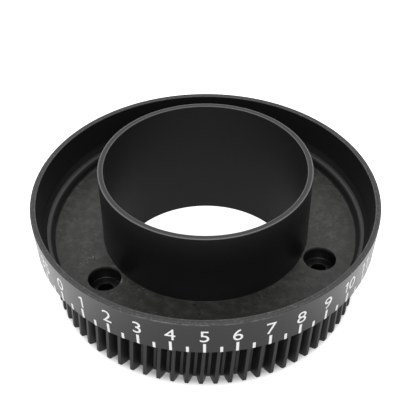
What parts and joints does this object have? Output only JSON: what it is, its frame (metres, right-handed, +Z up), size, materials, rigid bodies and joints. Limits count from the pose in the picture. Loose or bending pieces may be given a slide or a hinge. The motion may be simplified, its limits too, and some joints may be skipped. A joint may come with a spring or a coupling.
{
  "type": "toothed adjusting gear ring",
  "caption": "Round moulded adjusting ring with worm-wheel teeth, an overhanging numbered rim, a recessed deck with counterbored screw holes and a central collar.",
  "frame": {"origin": "centre of the flat bottom face, on the bore's axis", "axes": "+Z up the bore's axis, from the toothed side to the collar; -Y is the front"},
  "size_m": [0.1016, 0.1016, 0.0405],
  "materials": {
    "black_plastic": "satin moulded black, finely mottled on the deck",
    "white_print": "matte white pad print"
  },
  "bodies": {
    "root": {"gear_ring": "black_plastic"}
  },
  "joints": []
}
